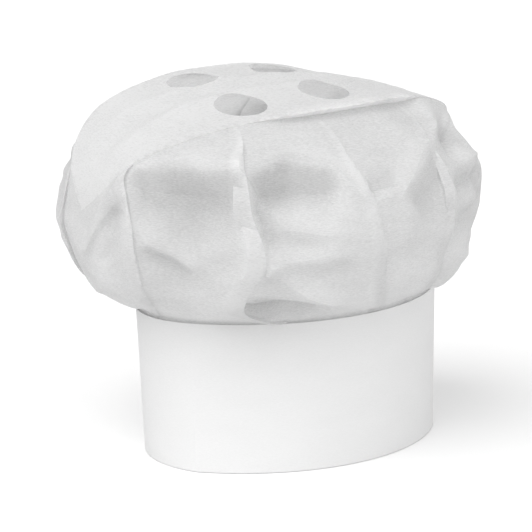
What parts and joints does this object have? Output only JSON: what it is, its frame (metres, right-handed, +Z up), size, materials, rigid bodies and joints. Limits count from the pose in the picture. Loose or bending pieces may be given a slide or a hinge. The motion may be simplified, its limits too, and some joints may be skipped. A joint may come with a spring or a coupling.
{
  "type": "chef toque",
  "caption": "Mushroom-style chef hat of thin white nonwoven: tall straight band, billowing gathered crown with vent holes, peel-open size closure at the back.",
  "frame": {"origin": "centre of the head opening, on the plane of the band's lower rim", "axes": "+Z up through the crown; +X from side seam to side seam of the crown, the hat's longest extent; +Y towards the back, where the size closure is"},
  "size_m": [0.284, 0.264, 0.246],
  "materials": {
    "band_nonwoven": "matte",
    "crown_nonwoven": "matte",
    "hot_melt_glue": "satin",
    "hook_tape": "matte",
    "loop_tape": "matte"
  },
  "bodies": {
    "hat": {"outer_band": "band_nonwoven", "inner_band": "band_nonwoven", "crown_gathered_edge": "crown_nonwoven", "crown_front_panel": "crown_nonwoven", "crown_gusset_front": "crown_nonwoven", "crown_gusset_back": "crown_nonwoven", "crown_back_panel": "crown_nonwoven", "crown_glue_line": "hot_melt_glue"},
    "closure_flap": {"closure_flap": "band_nonwoven", "hook_patch": "hook_tape"},
    "closure_tail": {"closure_tail": "band_nonwoven", "loop_patch": "loop_tape"}
  },
  "joints": [
    {"name": "flap_peel", "type": "hinge", "parent": "hat", "child": "closure_flap", "pos_m": [0.03583, 0.07296, 0], "axis": [0, 0, -1], "range_deg": [0, 150]},
    {"name": "size_slide", "type": "hinge", "parent": "hat", "child": "closure_tail", "pos_m": [0, -0.052, 0], "axis": [0, 0, 1], "range_deg": [-8.8, 8.8]}
  ]
}
